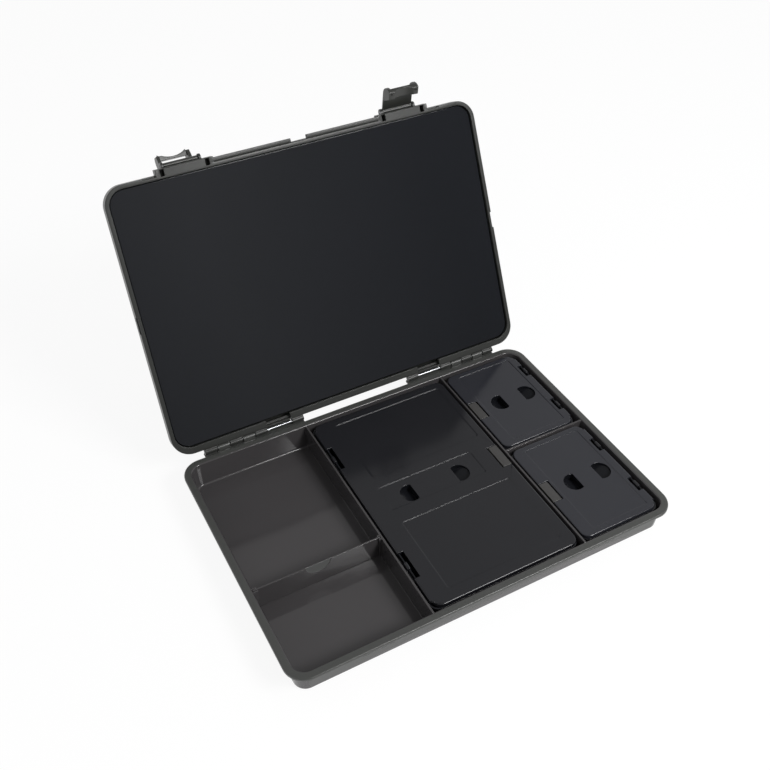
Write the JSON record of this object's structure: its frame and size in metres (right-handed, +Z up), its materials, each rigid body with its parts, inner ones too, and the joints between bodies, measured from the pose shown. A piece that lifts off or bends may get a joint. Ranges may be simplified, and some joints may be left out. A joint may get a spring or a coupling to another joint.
{
  "type": "fishing tackle case",
  "caption": "Flat hinged tackle case, lid open, with dividers, a loose cross divider, lidded lift-out boxes with sliding catches, and two hook latches on the lid.",
  "frame": {"origin": "middle of the tray's underside, on the surface that it stands on", "axes": "+X to the right, +Y towards the hinge at the back, +Z up"},
  "size_m": [0.36, 0.3938, 0.2798],
  "materials": {
    "case_shell": "matte dark olive-grey, moulded",
    "case_lid": "matte dark olive-grey, moulded",
    "inner_panel": "glossy near-black",
    "latch_plastic": "matte dark olive-grey",
    "box_plastic": "semi-gloss charcoal",
    "box_lid_plastic": "semi-gloss charcoal",
    "catch_plastic": "matt mid grey",
    "divider_plastic": "matte dark grey",
    "box_pin_acetal": "plain black acetal rod",
    "pin_steel": "drawn steel wire"
  },
  "bodies": {
    "case": {"base_tray": "case_shell", "hinge_pin_left": "pin_steel", "hinge_pin_right": "pin_steel"},
    "main_lid": {"lid_shell": "case_lid", "lid_panel": "inner_panel", "latch_pin_left": "pin_steel", "latch_pin_right": "pin_steel"},
    "left_latch": {"latch_left": "latch_plastic"},
    "right_latch": {"latch_right": "latch_plastic"},
    "loose_divider": {"cross_divider": "divider_plastic"},
    "big_box": {"big_box_tray": "box_plastic", "big_box_pins": "box_pin_acetal"},
    "big_lid": {"big_box_lid": "box_lid_plastic"},
    "big_catch": {"big_box_catch": "catch_plastic"},
    "rear_box": {"rear_box_tray": "box_plastic", "rear_box_pins": "box_pin_acetal"},
    "rear_lid": {"rear_box_lid": "box_lid_plastic"},
    "rear_catch": {"rear_box_catch": "catch_plastic"},
    "front_box": {"front_box_tray": "box_plastic", "front_box_pins": "box_pin_acetal"},
    "front_lid": {"front_box_lid": "box_lid_plastic"},
    "front_catch": {"front_box_catch": "catch_plastic"}
  },
  "joints": [
    {"name": "lid_hinge", "type": "hinge", "parent": "case", "child": "main_lid", "pos_m": [0, 0.1255, 0.0285], "axis": [-1, 0, 0], "range_deg": [-115.7, 0]},
    {"name": "left_latch_hinge", "type": "hinge", "parent": "main_lid", "child": "left_latch", "pos_m": [-0.106, 0.24367, 0.25329], "axis": [-1, 0, 0], "range_deg": [-190, 15]},
    {"name": "right_latch_hinge", "type": "hinge", "parent": "main_lid", "child": "right_latch", "pos_m": [0.106, 0.24367, 0.25329], "axis": [-1, 0, 0], "range_deg": [-58, 147]},
    {"name": "cross_divider_lift", "type": "slide", "parent": "case", "child": "loose_divider", "axis": [0, 0, 1], "range_m": [0, 0.05]},
    {"name": "big_box_lift", "type": "slide", "parent": "case", "child": "big_box", "axis": [0, 0, 1], "range_m": [0, 0.06]},
    {"name": "rear_box_lift", "type": "slide", "parent": "case", "child": "rear_box", "axis": [0, 0, 1], "range_m": [0, 0.06]},
    {"name": "front_box_lift", "type": "slide", "parent": "case", "child": "front_box", "axis": [0, 0, 1], "range_m": [0, 0.06]},
    {"name": "big_lid_hinge", "type": "hinge", "parent": "big_box", "child": "big_lid", "pos_m": [-0.053, 0, 0.0233], "axis": [0, -1, 0], "range_deg": [0, 110]},
    {"name": "rear_lid_hinge", "type": "hinge", "parent": "rear_box", "child": "rear_lid", "pos_m": [0.16819, 0.05884, 0.0233], "axis": [0, 1, 0], "range_deg": [0, 110]},
    {"name": "front_lid_hinge", "type": "hinge", "parent": "front_box", "child": "front_lid", "pos_m": [0.16819, -0.05654, 0.0233], "axis": [0, 1, 0], "range_deg": [0, 110]},
    {"name": "big_catch_slide", "type": "slide", "parent": "big_lid", "child": "big_catch", "axis": [-1, 0, 0], "range_m": [0, 0.0011]},
    {"name": "rear_catch_slide", "type": "slide", "parent": "rear_lid", "child": "rear_catch", "axis": [1, 0, 0], "range_m": [0, 0.0011]},
    {"name": "front_catch_slide", "type": "slide", "parent": "front_lid", "child": "front_catch", "axis": [1, 0, 0], "range_m": [0, 0.0011]}
  ]
}
